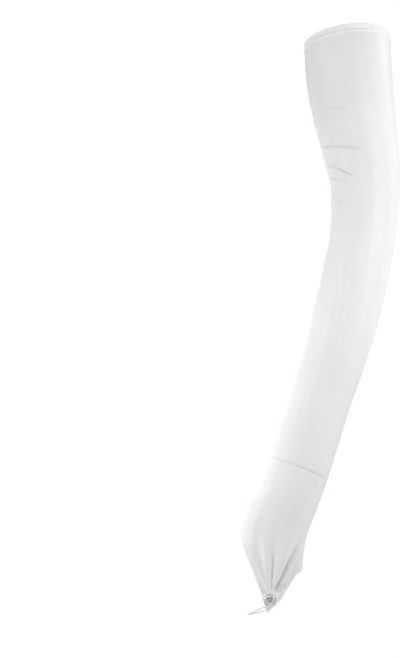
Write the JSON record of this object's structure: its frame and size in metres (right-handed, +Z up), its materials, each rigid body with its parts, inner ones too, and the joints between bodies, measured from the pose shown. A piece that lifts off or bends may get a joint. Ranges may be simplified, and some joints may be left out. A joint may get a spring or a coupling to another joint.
{
  "type": "evening glove",
  "caption": "Long fingerless evening glove of white stretch satin in its worn form, with a pointed back, a ribbon rosette and a finger loop.",
  "frame": {"origin": "middle of the arm opening, where the top hem's rim goes round the upper arm", "axes": "+Z up along the upper arm, out of the arm opening; the glove hangs down from it; +X towards the little-finger side, -X towards the thumb side, -Y out of the back of the hand, +Y out of the palm"},
  "size_m": [0.1546, 0.1304, 0.5635],
  "materials": {
    "satin": "satin",
    "hem_satin": "satin",
    "ribbon": "satin",
    "elastic": "matte"
  },
  "bodies": {
    "root": {"sleeve": "satin", "top_hem": "hem_satin", "hand_hem": "hem_satin", "finger_loop": "elastic", "rosette_base": "ribbon", "rosette_outer_petal_1": "ribbon", "rosette_outer_petal_2": "ribbon", "rosette_outer_petal_3": "ribbon", "rosette_outer_petal_4": "ribbon", "rosette_outer_petal_5": "ribbon", "rosette_inner_petal_1": "ribbon", "rosette_inner_petal_2": "ribbon", "rosette_inner_petal_3": "ribbon", "rosette_bud": "ribbon"}
  },
  "joints": []
}
